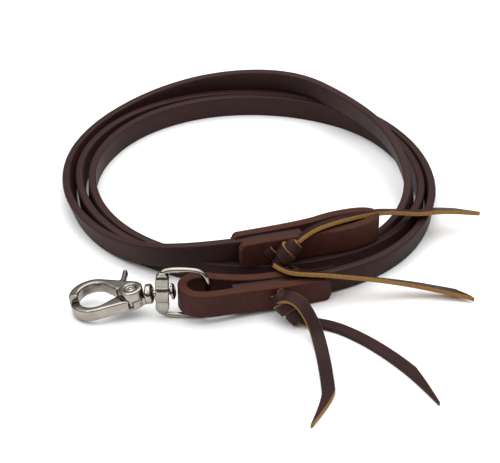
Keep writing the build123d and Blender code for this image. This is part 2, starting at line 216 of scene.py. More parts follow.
def eased_line(name, points, order=3):
    """The points along a NURBS curve whose control points are given in metres, and the curve's own place
    along them: 0 at the first control point and n - 1 at the last."""
    data = bpy.data.curves.new(name, "CURVE")
    data.dimensions = "3D"
    data.resolution_u = STEPS_PER_RUN
    spline = data.splines.new("NURBS")
    spline.points.add(len(points) - 1)
    spline.points.foreach_set("co", np.c_[np.array(points, float), np.ones(len(points))].ravel())
    spline.order_u = order
    spline.use_endpoint_u = True
    holder = bpy.data.objects.new(name, data)
    mesh = bpy.data.meshes.new_from_object(holder)
    line = np.zeros(len(mesh.vertices) * 3)
    mesh.vertices.foreach_get("co", line)
    line = line.reshape(-1, 3)
    bpy.data.meshes.remove(mesh)
    bpy.data.objects.remove(holder)
    bpy.data.curves.remove(data)
    place = np.linspace(0, len(points) - 2, len(line)) + 0.5
    place[0], place[-1] = 0, len(points) - 1
    return line, place


def distances(line):
    """How far along the line each point is: the running sum of the steps' lengths."""
    return np.r_[0, np.cumsum(np.linalg.norm(np.diff(line, axis=0), axis=1))]


def respaced(line, step, *others):
    """The line with points about step apart, and any other arrays read off at the same places."""
    along = distances(line)
    at = np.linspace(0, along[-1], int(np.ceil(along[-1] / step)) + 1)
    spread = [np.stack([np.interp(at, along, column) for column in np.atleast_2d(a.T)], axis=1)
              for a in (line, *others)]
    return [spread[0], *[s[:, 0] if o.ndim == 1 else s for s, o in zip(spread[1:], others)]]


def unit(v):
    """Each row divided by its own length."""
    return v / np.maximum(np.linalg.norm(v, axis=-1, keepdims=True), 1e-12)


def directions(line):
    """The unit tangent at each point: the difference of its neighbours."""
    return unit(np.gradient(line, axis=0))


print("lines take", STEPS_PER_RUN, "steps for each control point")

# %% [markdown]
# ## Closed skins
#
# Every new shape here is a grid of points: rows along it, columns round it, and one more point in the
# middle of each end. The faces between them are the same for all, so they are worked out once. Which way
# round a face is listed says which side is its outside, and that matters for the shading and for anyone
# who prints the meshes.

# %% Skins
def skin(rows, columns, flipped=False):
    """Faces of a grid that closes round its columns: point i, j is number i * columns + j, quads join
    neighbours, and a fan joins the first and the last row to the two points that follow the grid. They face
    outwards where the columns run anticlockwise as seen from beyond the last row; flipped is for columns
    that run clockwise."""
    i, j = np.meshgrid(np.arange(rows - 1), np.arange(columns), indexing="ij")
    k = (j + 1) % columns
    here, above = i * columns, (i + 1) * columns
    quads = np.stack([here + j, here + k, above + k, above + j], -1).reshape(-1, 4)
    j = np.arange(columns)
    k = (j + 1) % columns
    last_row = (rows - 1) * columns
    fans = np.vstack([np.stack([np.full(columns, rows * columns), k, j], -1),
                      np.stack([np.full(columns, rows * columns + 1), last_row + j, last_row + k], -1)])
    if flipped:
        quads, fans = quads[:, [0, 3, 2, 1]], fans[:, [0, 2, 1]]
    return [*quads.tolist(), *fans.tolist()]


def new_piece(name, points, faces, marks):
    """Puts points and faces into a smooth-shaded mesh object at the origin, with its point attributes."""
    mesh = bpy.data.meshes.new(name)
    mesh.from_pydata(np.asarray(points).tolist(), [], faces)
    mesh.polygons.foreach_set("use_smooth", np.ones(len(mesh.polygons), bool))
    for key, values in marks.items():
        mesh.attributes.new(key, "FLOAT", "POINT").data.foreach_set("value", np.asarray(values, np.float32))
    mesh.update()
    piece = bpy.data.objects.new(name, mesh)
    bpy.context.scene.collection.objects.link(piece)
    print(name, "faces", len(mesh.polygons))
    return piece


print("a skin of 3 rows and 4 columns has", len(skin(3, 4)), "faces")

# %% [markdown]
# ## Bands of leather
#
# Every soft piece here is a flat band carried along a line: the strap on edge, the folded loops, the
# lace. A curve object with a bevel could do it, but it gives no control of which face is grain and which
# is the cut edge, and it can't taper one side only. So a band is a grid whose columns go round a
# rectangle with rounded corners, and two point attributes tell the materials where the leather was cut
# and where its rough flesh side shows.

# %% The section of a band
CORNER_STEPS = 4
FACE_STEPS = 5


def band_section():
    """Round a rectangle once: for each column its place between the corners' centres, -1 to 1 in thickness
    and in width, and its outward direction, so that along each axis it lies at place*(half - r) + out*r."""
    quarter = np.linspace(0, np.pi / 2, CORNER_STEPS + 1)
    between = np.linspace(-1, 1, FACE_STEPS + 2)[1:-1]
    rows = []
    for k, (side_at, up_at) in enumerate([(1, 1), (-1, 1), (-1, -1), (1, -1)]):
        rows += [(side_at, up_at, np.cos(t), np.sin(t)) for t in quarter + k * np.pi / 2]
        if k == 1:
            rows += [(-1, place, -1, 0) for place in between[::-1]]
        if k == 3:
            rows += [(1, place, 1, 0) for place in between]
    return np.array(rows, float).T


SECTION = band_section()
print("a band has", SECTION.shape[1], "points round it")

# %% Bands
END_STEPS = 3
EDGE_FROM, EDGE_FADE = 0.35, 0.4        # of the outward direction's share along the width


def band(name, line, up, half_thick, half_wide, round_off, grain_side=0, wide_low=None, slant=None, pale=1.0):
    """A flat band along a line. With T the tangent, U the up direction of its width and S = T x U its
    thickness direction, row i and column j lie at
        line + S*(side_at*(half_thick - r) + side_out*r) + U*(up_at*(half_wide - r) + up_out*r),
    and past each end the columns follow a quarter circle of radius r to a flat cap. wide_low is the half
    width below the line where it isn't the same as above. slant is how far the grain face is drawn back
    along the upper edge, where a knife has cut it at an angle, and pale how tan the edges are along the
    line. The point attribute cut is 1 on the edges and 0 on the faces. flesh is pale on the edges and 1 on
    the face away from grain_side."""
    side_at, up_at, side_out, up_out = SECTION
    count = len(line)
    thick = np.broadcast_to(np.asarray(half_thick, float), (count,))
    above = np.broadcast_to(np.asarray(half_wide, float), (count,))
    below = above if wide_low is None else np.broadcast_to(np.asarray(wide_low, float), (count,))
    along = directions(line)
    up = np.broadcast_to(np.asarray(up, float), line.shape)
    across = unit(np.cross(along, up))
    r = round_off
    turns = np.linspace(0, np.pi / 2, END_STEPS + 1)[1:]
    first = [(0, np.cos(t), -np.sin(t)) for t in turns[::-1]]
    last = [(count - 1, np.cos(t), np.sin(t)) for t in turns]
    rows = first + [(i, 1.0, 0.0) for i in range(count)] + last
    index = np.array([row[0] for row in rows])
    keep = np.array([row[1] for row in rows])[:, None]
    push = np.array([row[2] for row in rows])
    centre = line[index] + along[index] * (push * r)[:, None]
    a = side_at * (thick[index, None] - r) + side_out * r * keep
    share = (up_at + 1) / 2
    drawn = np.zeros(1) if slant is None else np.asarray(slant)[index, None]
    b = (above[index, None] - r) * share - (below[index, None] - r) * (1 - share) + up_out * r * keep
    b = b - np.clip(side_out * grain_side, 0, 1) * drawn * share
    grid = centre[:, None] + across[index][:, None] * a[..., None] + up[index][:, None] * b[..., None]
    row_count, column_count = a.shape
    points = np.vstack([grid.reshape(-1, 3), grid[0].mean(0), grid[-1].mean(0)])
    cut = np.clip((np.abs(up_out) - EDGE_FROM) / EDGE_FADE, 0, 1)
    tan = np.broadcast_to(np.asarray(pale, float), (count,))[index, None]
    knifed = (drawn > 0) & (up_at > 0)
    flesh = np.maximum(cut * np.where(knifed, 1, tan), (side_out * grain_side < -0.5).astype(float))
    ends = np.array([row[1] < 1 for row in rows])
    cut_all = np.maximum(np.broadcast_to(cut, (row_count, column_count)), ends[:, None])
    flesh_all = np.maximum(np.broadcast_to(flesh, (row_count, column_count)), ends[:, None])
    marks = {"cut": np.r_[cut_all.ravel(), 1, 1], "flesh": np.r_[flesh_all.ravel(), 1, 1]}
    return new_piece(name, points, skin(row_count, column_count, flipped=True), marks)


# %% [markdown]
# ## The strap
#
# The rein is heavy harness leather, 15.9 mm wide and 5.2 mm thick, 2.19 m long. Its first turn starts on
# top of the others at the front, comes down at the left, and climbs back over them at the back right. A
# spiral formula would look machine wound. Real turns aren't circles, so each has its own radius every 30
# degrees, and each leans a little, as a strap on edge does where nothing ties it. The lean is carried
# along the line as the height is.

# %% The strap's line
STRAP_WIDE = 15.9 * MM
STRAP_THICK = 5.2 * MM
STRAP_ROUND = 1.1 * MM
STRAP_SPACING = 2.5 * MM
RAISE = 16.2 * MM
COIL_CENTRE = (-12.0 * MM, 66.5 * MM)
# Radii in mm, one turn a row, every 30 degrees from the front by way of the left.
TURNS = [
    [118.5, 120.0, 124.2, 127.6, 128.5, 126.0, 121.0, 104.0, 102.6, 113.0, 115.2, 107.6],
    [107.2, 107.8, 109.2, 110.6, 111.8, 111.4, 111.5, 115.0, 115.1, 119.9, 120.6, 113.3],
    [113.0, 114.0, 116.0, 120.0, 121.3, 118.0, 117.2, 120.8, 121.3, 126.8, 132.6, 131.6],
]
BIT_END = (19.0 * MM, -29.0 * MM)
SNAP_END = (-22.0 * MM, -73.0 * MM)
SNAP_END_LIFT = 4.0 * MM
# Shares of the raise: 1 lies on top of another turn, 0 stands on the table.
LIFTS = [1, 1, 0, 0, 0, 0.2, 0.68, 1, 1, 1, 0.29] + [0] * 25 + [0.06, SNAP_END_LIFT / RAISE]
# How many degrees each control point's stretch leans outwards: the bit end, three turns, the snap end.
LEANS = [
    2,
    4, 11, 20, 14, -2, -4, -8, -14, -15, -8, -2, 0,
    2, 3, -3, 0, -2, -6, -6, -5, 0, 2, 0, 0,
    2, 6, 6, 5, -2, -3, -4, -4, 3, 8, 8, 2,
    4,
]

radii = np.array(TURNS).ravel() * MM
bearing = np.radians(15 + 30 * np.arange(len(radii)))
coil = np.stack([COIL_CENTRE[0] - radii * np.sin(bearing), COIL_CENTRE[1] - radii * np.cos(bearing)], axis=1)
strap_route = np.c_[np.vstack([BIT_END, coil, SNAP_END]), np.array(LIFTS) * RAISE + STRAP_WIDE / 2]
strap_line, strap_place = eased_line("strap_route", strap_route)
strap_lean = np.radians(np.interp(strap_place, np.arange(len(strap_route)), LEANS))
strap_line, strap_lean = respaced(strap_line, STRAP_SPACING, strap_lean)
strap_along = directions(strap_line)
UP = np.array([0.0, 0.0, 1.0])
# The coil runs clockwise as seen from above, so this points away from its centre.
outward = unit(np.cross(UP, strap_along * [1, 1, 0]))
# Half the height that a leaning strap takes up. It is raised until its lowest edge stands where an upright
# one's does.
leaning_half = ((STRAP_WIDE / 2 - STRAP_ROUND) * np.cos(strap_lean)
                + (STRAP_THICK / 2 - STRAP_ROUND) * np.abs(np.sin(strap_lean)) + STRAP_ROUND)
strap_line[:, 2] += np.maximum(leaning_half - STRAP_WIDE / 2, 0)
strap_up = UP * np.cos(strap_lean)[:, None] + outward * np.sin(strap_lean)[:, None]
strap_length = distances(strap_line)[-1]
print("strap length", round(strap_length, 4), "m")

# %% The strap's mesh
rein_strap = band("rein_strap_leather", strap_line, strap_up, STRAP_THICK / 2, STRAP_WIDE / 2, STRAP_ROUND)
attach(rein_strap, "rein")
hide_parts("rein_strap")


# %% [markdown]
# ## What both loops need
#
# Each end of the strap lies between the two legs of a folded loop, cut from thicker leather and bent
# round on itself. A loop is one band whose line goes out along one leg and back along the other. Its ends
# have rounded corners, as a strap end punch leaves them. Cutting corners off a finished mesh would leave
# slivers, so the band narrows along a quarter circle instead, with its rows set closer together there.

# %% Loop helpers
LOOP_WIDE = 17.0 * MM
LOOP_THICK = 5.8 * MM
LAYER_GAP = 0.25 * MM
LAYER_STEP = (STRAP_THICK + LOOP_THICK) / 2 + LAYER_GAP
LOOP_ROUND = 0.8 * MM
LOOP_SPACING = 1.2 * MM
END_CORNER = 3.2 * MM
CORNER_SPACING = 0.5 * MM


def rounded_ends(line, half_wide, radius):
    """Half widths along a band with rounded corners: half - radius + sqrt(radius^2 - (radius - d)^2) within
    radius of an end, where d is the distance to that end."""
    along = distances(line)
    d = np.minimum(along, along[-1] - along)
    inside = np.clip(radius - d, 0, radius)
    return half_wide - radius + np.sqrt(np.maximum(radius ** 2 - inside ** 2, 0)) + 1e-6


def close_ends(line, reach, step):
    """More points near both ends of a line, so that rounded corners stay smooth."""
    along = distances(line)
    near = np.linspace(0, reach, int(reach / step) + 1)
    at = np.unique(np.round(np.r_[near, along, along[-1] - near], 7))
    at = at[np.r_[True, np.diff(at) > step / 3]]
    return np.stack([np.interp(at, along, line[:, k]) for k in range(3)], axis=1)


def placed(origin, x_axis, points):
    """Points on the table, from (x, y) in mm beside origin, x along x_axis and y to the left of it."""
    x_axis = unit(np.array(x_axis, float))
    y_axis = np.array([-x_axis[1], x_axis[0]])
    p = np.array(points, float) * MM
    return np.array(origin) + p[:, :1] * x_axis + p[:, 1:] * y_axis


print("a leg's middle lies", round(LAYER_STEP / MM, 2), "mm from the strap's")

# %% [markdown]
# ## The bit loop
#
# The bit loop takes the ring of a bit, so it stands open, in the shape of a long drop. Its line is drawn
# in the strap's own frame, with x along the strap and y across it, because that keeps both legs parallel
# to the strap whichever way the strap lies. It stands as high as the top turn, which it is the end of.

# %% The bit loop
bit_axis = unit(strap_route[0, :2] - strap_route[1, :2])
step_mm = LAYER_STEP / MM
bit_loop_plan = placed(BIT_END, bit_axis, [
    (-40, -step_mm), (8, -step_mm), (30, -step_mm - 1.8), (52, -1.2), (50.5, 10), (26, 11.5), (4, step_mm),
    (-42, step_mm)])
bit_loop_route = np.c_[bit_loop_plan, np.full(len(bit_loop_plan), RAISE + LOOP_WIDE / 2)]
bit_loop_line, _ = eased_line("bit_loop_route", bit_loop_route)
(bit_loop_line,) = respaced(bit_loop_line, LOOP_SPACING)
bit_loop_line = close_ends(bit_loop_line, END_CORNER, CORNER_SPACING)
bit_loop = band("bit_end_loop_leather", bit_loop_line, UP, LOOP_THICK / 2,
                rounded_ends(bit_loop_line, LOOP_WIDE / 2, END_CORNER), LOOP_ROUND)
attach(bit_loop, "rein")
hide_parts("bit_end_loop")

# %% [markdown]
# ## The snap loop
#
# The other loop is short and closed round the dee's bow. Its legs lie against a strap that is bending, so
# its points are taken beside the strap at chosen distances from its end. Towards the dee it climbs a
# little and tilts back, because the dee holds it up.

# %% The snap loop
LOOP_CLIMB = 6.5 / 90.7
CLIMB_FROM = 38 * MM
OFF_TABLE = 0.1 * MM
from_end = distances(strap_line)[-1] - distances(strap_line)


def beside_strap(reach, side):
    """The plan point that lies a layer's step beside the strap, reach mm back from its snap end."""
    spot = np.array([np.interp(reach * MM, from_end[::-1], strap_line[::-1, k]) for k in range(2)])
    sideways = np.array([np.interp(reach * MM, from_end[::-1], outward[::-1, k]) for k in range(2)])
    return spot + unit(sideways) * LAYER_STEP * side


snap_plan = np.array([beside_strap(60, 1), beside_strap(42, 1), beside_strap(24, 1), beside_strap(4, 1),
                      (-0.0460, -0.0880), (-0.0556, -0.0755), (-0.0470, -0.0632), (-0.0290, -0.0652),
                      beside_strap(13, -1), beside_strap(30, -1), beside_strap(47, -1)])
snap_lift = np.clip(CLIMB_FROM - snap_plan[:, 0], 0, None) * LOOP_CLIMB
snap_loop_line, _ = eased_line("snap_loop_route", np.c_[snap_plan, snap_lift + LOOP_WIDE / 2 + OFF_TABLE])
(snap_loop_line,) = respaced(snap_loop_line, LOOP_SPACING)
snap_loop_line = close_ends(snap_loop_line, END_CORNER, CORNER_SPACING)
LOOP_TILT = np.radians(6)
loop_up = np.array([0, -np.sin(LOOP_TILT), np.cos(LOOP_TILT)])
snap_loop = band("snap_end_loop_leather", snap_loop_line, loop_up, LOOP_THICK / 2,
                 rounded_ends(snap_loop_line, LOOP_WIDE / 2, END_CORNER), LOOP_ROUND)
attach(snap_loop, "rein")
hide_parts("snap_end_loop")


# %% [markdown]
# ## The lace's tails
#
# Saddle lace is oily latigo, 8 mm wide and 2.8 mm thick, dark on its grain side and tan on its flesh side
# and edges. One strip goes through two punched holes, is knotted on the front leg, and leaves two tails.
# A tail is a band again, with two things more: a roll, because lace never lies quite flat, and an end cut
# to a point on one side only, as a knife does it. Its points are listed one by one, because a tail lies
# where it was dropped.

# %% Lace tails
LACE_WIDE = 8.0 * MM
LACE_THICK = 2.8 * MM
LACE_ROUND = 0.5 * MM
LACE_SPACING = 1.2 * MM
TIP_WIDE = 1.1 * MM
KNIFE_SLANT = 0.45 * MM
SLANT_STARTS_OVER = 1 / 8       # of the cut's length


def tail(name, route, rolls, cut_side, cut_long, node, pale=None):
    """A lace tail along the route, in mm. Its width lies level across its line, then is rolled about the
    line by the degrees given at the control points: level*cos(roll) + top*sin(roll). The end narrows in a
    straight line on cut_side over cut_long mm. pale says at the control points how tan the edges are; it is
    lowest where the tail lies flat on the table, so the edges are darker there."""
    route = np.array(route, float) * MM
    line, place = eased_line(name + "_route", route)
    roll = np.radians(np.interp(place, np.arange(len(route)), rolls))
    tan = np.interp(place, np.arange(len(route)), pale or [1] * len(route))
    line, roll, tan = respaced(line, LACE_SPACING, roll, tan)
    along = directions(line)
    level = unit(np.cross(UP, along))
    top = np.cross(along, level)
    wide_way = level * np.cos(roll)[:, None] + top * np.sin(roll)[:, None]
    left = distances(line)[-1] - distances(line)
    share = np.clip(left / (cut_long * MM), 0, 1)
    full = np.full(len(line), LACE_WIDE / 2)
    narrow = np.where(share < 1, share * (LACE_WIDE - TIP_WIDE) + TIP_WIDE - LACE_WIDE / 2, full)
    slant = np.minimum((1 - share) / SLANT_STARTS_OVER, 1) * KNIFE_SLANT
    piece = band(name, line, wide_way * cut_side, LACE_THICK / 2, narrow, LACE_ROUND, grain_side=cut_side,
                 wide_low=full, slant=slant, pale=tan)
    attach(piece, "rein")
    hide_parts(node)
    return piece


# %% The bit lace's tails
upper_tail = tail("bit_lace_upper_tail_lace", [
    (13, -43.5, 28), (20, -39.5, 34.2), (31, -29.5, 35.2), (51, -18, 34.8), (71, -5, 30.5),
    (83, 3.5, 24.5), (98, 11, 19.0), (112, 17, 17.8), (136.5, 26.8, 9.6)],
    [-34, -28, -20, -16, -15, -15, -16, -17, -17], 1, 15, "bit_lace_upper_tail")
lower_tail = tail("bit_lace_lower_tail_lace", [
    (5, -53.0, 21.5), (10, -59, 20.8), (19, -61.5, 20.8), (34, -60, 19.2), (50, -58.5, 16.4),
    (69, -54.6, 11.5), (98, -53.6, 6.0), (127.2, -59.3, 2.2)],
    [-25, -28, -28, -28, -28, -28, -20, -5], 1, 12, "bit_lace_lower_tail")

# %% The snap lace's tails
front_tail = tail("snap_lace_front_tail_lace", [
    (6.5, -80.5, 14.0), (10, -84.5, 21.0), (19, -91, 20.0), (26, -98, 10.5), (29.5, -105, 3.0),
    (32, -125, 1.5), (33.4, -147, 1.5), (33.8, -163, 1.5), (26.2, -187.2, 1.5)],
    [25, 24, 22, 16, 4, 0, 0, 0, 0], 1, 34, "snap_lace_front_tail", [1, 1, 1, 0.9, 0.45, 0, 0, 0, 0])
side_tail = tail("snap_lace_side_tail_lace", [
    (14, -84.0, 7.0), (25, -86.6, 2.2), (37, -88.9, 1.6), (49, -96.5, 1.5), (63, -109.4, 1.5),
    (77, -126, 1.5), (89.5, -144.5, 1.5), (100, -164, 1.5)],
    [0, 0, 0, 0, 0, 0, 0, 0], 1, 34, "snap_lace_side_tail", [0.4, 0.3, 0, 0, 0, 0, 0, 0])


# %% [markdown]
# ## The barrel of a knot
#
# The knot is the lace wrapped twice round itself and tucked under. A real one could be simulated, but at
# this size what is seen is the barrel of wraps, the tan edge of each wrap, and one band that crosses
# over. So the barrel is a lace section wound along a flattened spiral, with a plain core inside to close
# the gaps between wraps.

# %% The barrel of a knot
TUCK_TURN = 0.8
STEPS_PER_TURN = 60
END_TAPER = 0.10
BLUNT = 0.45
CORE_COLUMNS, CORE_ROWS = 32, 15


def wraps(name, centre, axis, size, turns, lean_back, lace_wide):
    """A lace band wound on a flattened barrel. At turn angle t and at q from -1/2 to 1/2 along it, its line
    is at
        centre + axis*q*(length - lace_wide) + (e1*cos(t)*depth/2 + e2*sin(t)*height/2)*swell,
    with the band's width along the axis and half a lace's thickness taken off both radii. swell is 1 in the
    middle and 1 - END_TAPER at the ends, and halves over the last TUCK_TURN radians, which tucks them in."""
    axis = unit(np.array(axis, float))
    e1 = unit(np.cross(axis, UP))
    e2 = np.cross(e1, axis)
    length, depth, height = (s * MM for s in size)
    t = np.linspace(0, 2 * np.pi * turns, int(STEPS_PER_TURN * turns)) + lean_back
    q = np.linspace(-0.5, 0.5, len(t))
    tucked = np.clip(np.minimum(t - t[0], t[-1] - t) / TUCK_TURN, 0, 1)
    swell = (1 - END_TAPER * (2 * q) ** 2) * (0.5 + 0.5 * np.sin(tucked * np.pi / 2))
    line = (np.array(centre) * MM + axis * (q * (length - lace_wide))[:, None]
            + e1 * (np.cos(t) * swell)[:, None] * (depth / 2 - LACE_THICK / 2)
            + e2 * (np.sin(t) * swell)[:, None] * (height / 2 - LACE_THICK / 2))
    return band(name, line, axis, LACE_THICK / 2, lace_wide / 2, LACE_ROUND, grain_side=-1)


def core_of(name, centre, axis, size):
    """The lace packed inside the wraps, an ellipsoid with blunter ends than a plain one's:
        centre + axis*a*sin(v) + (e1*b*cos(u) + e2*c*sin(u)) * cos(v)^BLUNT."""
    axis = unit(np.array(axis, float))
    e1 = unit(np.cross(axis, UP))
    e2 = np.cross(e1, axis)
    u, v = np.meshgrid(np.linspace(0, 2 * np.pi, CORE_COLUMNS, endpoint=False),
                       np.linspace(-np.pi / 2, np.pi / 2, CORE_ROWS + 2)[1:-1])
    a, b, c = (s * MM / 2 for s in size)
    full = np.cos(v) ** BLUNT
    points = (axis * (np.sin(v) * a)[..., None] + e1 * (np.cos(u) * full * b)[..., None]
              + e2 * (np.sin(u) * full * c)[..., None]).reshape(-1, 3)
    points = np.vstack([points, axis * -a, axis * a]) + np.array(centre) * MM
    smooth = np.zeros(len(points))
    return new_piece(name, points, skin(*v.shape, flipped=True), {"cut": smooth, "flesh": smooth})


print("a barrel's ends are", END_TAPER, "narrower than its middle")

# %% [markdown]
# ## Short stretches of lace
#
# Where the lace dives into a hole or crosses a leg, it turns its width as it goes. Such a stretch is a
# band whose width direction is given at each control point. The points are written beside the leg that
# the lace goes through: along the leg, out of its face, and up. A knot is several such pieces joined, so
# that it is one piece as it is one node.

# %% Short stretches of lace
STRETCH_SPACING = 0.8 * MM


def joined(pieces, name):
    """Several pieces made one object of that name."""
    bpy.ops.object.select_all(action="DESELECT")
    for piece in pieces:
        piece.select_set(True)
    bpy.context.view_layer.objects.active = pieces[0]
    bpy.ops.object.join()
    pieces[0].name = pieces[0].data.name = name
    return pieces[0]


def over_band(name, points, ups, grain_side, wide, thick, pale=1.0):
    """A short stretch of lace along control points in mm, its width direction given at each of them."""
    line, place = eased_line(name, np.array(points, float) * MM)
    ups = np.array(ups, float)
    up = np.stack([np.interp(place, np.arange(len(points)), ups[:, k]) for k in range(3)], axis=1)
    line, up = respaced(line, STRETCH_SPACING, up)
    along = directions(line)
    up = unit(up - along * (up * along).sum(1)[:, None])
    round_off = min(LACE_ROUND, thick / 3)
    return band(name, line, up, thick / 2, wide / 2, round_off, grain_side=grain_side, pale=pale)


def beside_leg(origin, x_axis, out_axis):
    """Two functions for things written as (along the leg, out of its face, up): put turns points in mm into
    points in the frame, still in mm, and turn turns directions into directions."""
    x_axis, out_axis = unit(np.array(x_axis, float)), unit(np.array(out_axis, float))

    def put(points):
        p = np.array(points, float)
        return np.array(origin) / MM + p[:, :1] * x_axis + p[:, 1:2] * out_axis + p[:, 2:] * UP

    def turn(vectors):
        v = np.array(vectors, float)
        return v[:, :1] * x_axis + v[:, 1:2] * out_axis + v[:, 2:] * UP
    return put, turn


# %% Where the two front legs are
bit_axis_3 = np.array([*bit_axis, 0])
bit_out = np.array([bit_axis_3[1], -bit_axis_3[0], 0])
bit_put, bit_turn = beside_leg([*BIT_END, 0] + bit_out * (LAYER_STEP + LOOP_THICK / 2), bit_axis_3, bit_out)
snap_near, snap_far = beside_strap(20.5, 1), beside_strap(33, 1)
snap_axis_3 = np.array([*unit(snap_far - snap_near), 0])
snap_out = np.array([snap_axis_3[1], -snap_axis_3[0], 0])
snap_put, snap_turn = beside_leg([*snap_near, 0] + snap_out * LOOP_THICK / 2, snap_axis_3, snap_out)
print("the snap's leg runs along", snap_axis_3.round(2).tolist())

# %% [markdown]
# ## The two knots
#
# Each knot is a barrel, its core, and a tuck: the lace that comes out of the hole and goes under the
# wraps. The bit knot also has a thin strip below it, where the lace leaves towards its lower tail. A
# barrel is given by its centre, the way its axis points and its length, depth and height, all in mm.

# %% The knots
TUCK_WIDE = 5.6 * MM
TUCK_THICK = 2.2 * MM
HOLE_WIDE = 4.4 * MM
BIT_KNOT = ((10.9, -47.6, 26.6), (0.57, 0.30, 0.76), (21, 12.5, 13.2))
SNAP_KNOT = ((11.4, -82.8, 11.0), (0.70, -0.45, -0.50), (23.0, 14.0, 14.6))
bit_knot = joined([
    wraps("bit_wraps", *BIT_KNOT, turns=1.75, lean_back=2.4, lace_wide=7.2 * MM),
    core_of("bit_core", BIT_KNOT[0], BIT_KNOT[1], (20.5, 9.6, 10.2)),
    over_band("bit_tuck",
              bit_put([(-24, -3.5, 28.2), (-23.6, 0.2, 27.4), (-22, 1.6, 24.6), (-17, 2.8, 21.4),
                       (-10, 4.4, 20.0)]),
              bit_turn([(0.75, 0, 0.65), (0.75, 0, 0.65), (0.6, 0, 0.8), (0.2, 0.2, 0.95), (0.1, 0.2, 0.95)]),
              1, TUCK_WIDE, TUCK_THICK),
    over_band("bit_strip",
              bit_put([(-12, 6.0, 18.6), (-8, 8.4, 15.6), (-2, 9.0, 13.0), (8, 7.8, 11.8), (16, 7.0, 11.6)]),
              bit_turn([(0, 0.5, 0.8), (0, 0.8, 0.6), (0, 0.9, 0.4), (0, 0.9, 0.4), (0, 0.9, 0.4)]),
              -1, HOLE_WIDE, 0.9 * MM, pale=0.35),
], "bit_lace_knot_lace")
snap_knot = joined([
    wraps("snap_wraps", *SNAP_KNOT, turns=1.6, lean_back=2.0, lace_wide=7.4 * MM),
    core_of("snap_core", SNAP_KNOT[0], SNAP_KNOT[1], (22.5, 10.8, 11.4)),
    over_band("snap_tuck", snap_put([(0.6, -3.0, 11), (0.8, 0.4, 11), (3.0, 1.8, 11), (8, 3.4, 10)]),
              snap_turn([(0, 0, 1)] * 4), 1, TUCK_WIDE, TUCK_THICK),
], "snap_lace_knot_lace")
for knot, node in ((bit_knot, "bit_lace_knot"), (snap_knot, "snap_lace_knot")):
    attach(knot, "rein")
    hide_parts(node)


# %% [markdown]
# ## The stitches
#
# Behind each knot the same lace goes through two punched holes, through both legs and the strap between
# them, and crosses the back leg flat. It is gathered narrower than a tail where it goes through. Only the
# part on the back shows, but the whole of it is there, so that nothing ends in the air.

# %% The stitches
BEHIND_LEG = 1.4                # mm, as are all places beside a leg
HOLE_BEND = 0.8
IN_FRONT = -1.0
LEG_ENTRY = 2.5


def stitch(name, put, turn, holes, height, node):
    """The lace behind a knot: in at the first hole, across the back leg and out at the last, at that
    height. holes are places along the leg in mm."""
    away = -(2 * LAYER_STEP + LOOP_THICK) / MM - BEHIND_LEG
    first, last = holes
    route = [(first, IN_FRONT, height), (first, away + LEG_ENTRY, height), (first + HOLE_BEND, away, height),
             (last - HOLE_BEND, away, height), (last, away + LEG_ENTRY, height), (last, IN_FRONT, height)]
    piece = over_band(name, put(route), turn([(0, 0, 1)] * 6), -1, HOLE_WIDE, TUCK_THICK)
    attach(piece, "rein")
    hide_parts(node)
    return piece


bit_stitch = stitch("bit_lace_stitch_lace", bit_put, bit_turn, (-21, -7.5), 25.7, "bit_lace_stitch")
snap_stitch = stitch("snap_lace_stitch_lace", snap_put, snap_turn, (0, 12.5), 11.0, "snap_lace_stitch")


# %% [markdown]
# ## Leather
#
# Leather is drum dyed and hot stuffed with oil and wax, so its colour runs in soft patches, its grain is
# fine and its surface has a low wide shine. One even brown would look like plastic. So a slow noise makes
# the patches, a Voronoi pattern presses in the walls of the grain's cells, a finer noise makes pits, and
# a third one makes the fibres that show where the leather was cut. The border between grain and cut is
# ragged by those fibres. Real grain is about half a millimetre, too fine to show from here, so it is
# drawn at twice that.

# %% Leather
GRAIN = 1 / (1.1 * MM)          # per metre, as are the next two
PATCHES = 1 / (45 * MM)
FIBRES = 1 / (0.9 * MM)
PATCH_SHARE = 0.65
PIT_SHARE = 0.35
GRAIN_PRESSED = 0.25 * MM
FIBRES_RAISED = 0.3 * MM
LEATHER_IOR = 1.45


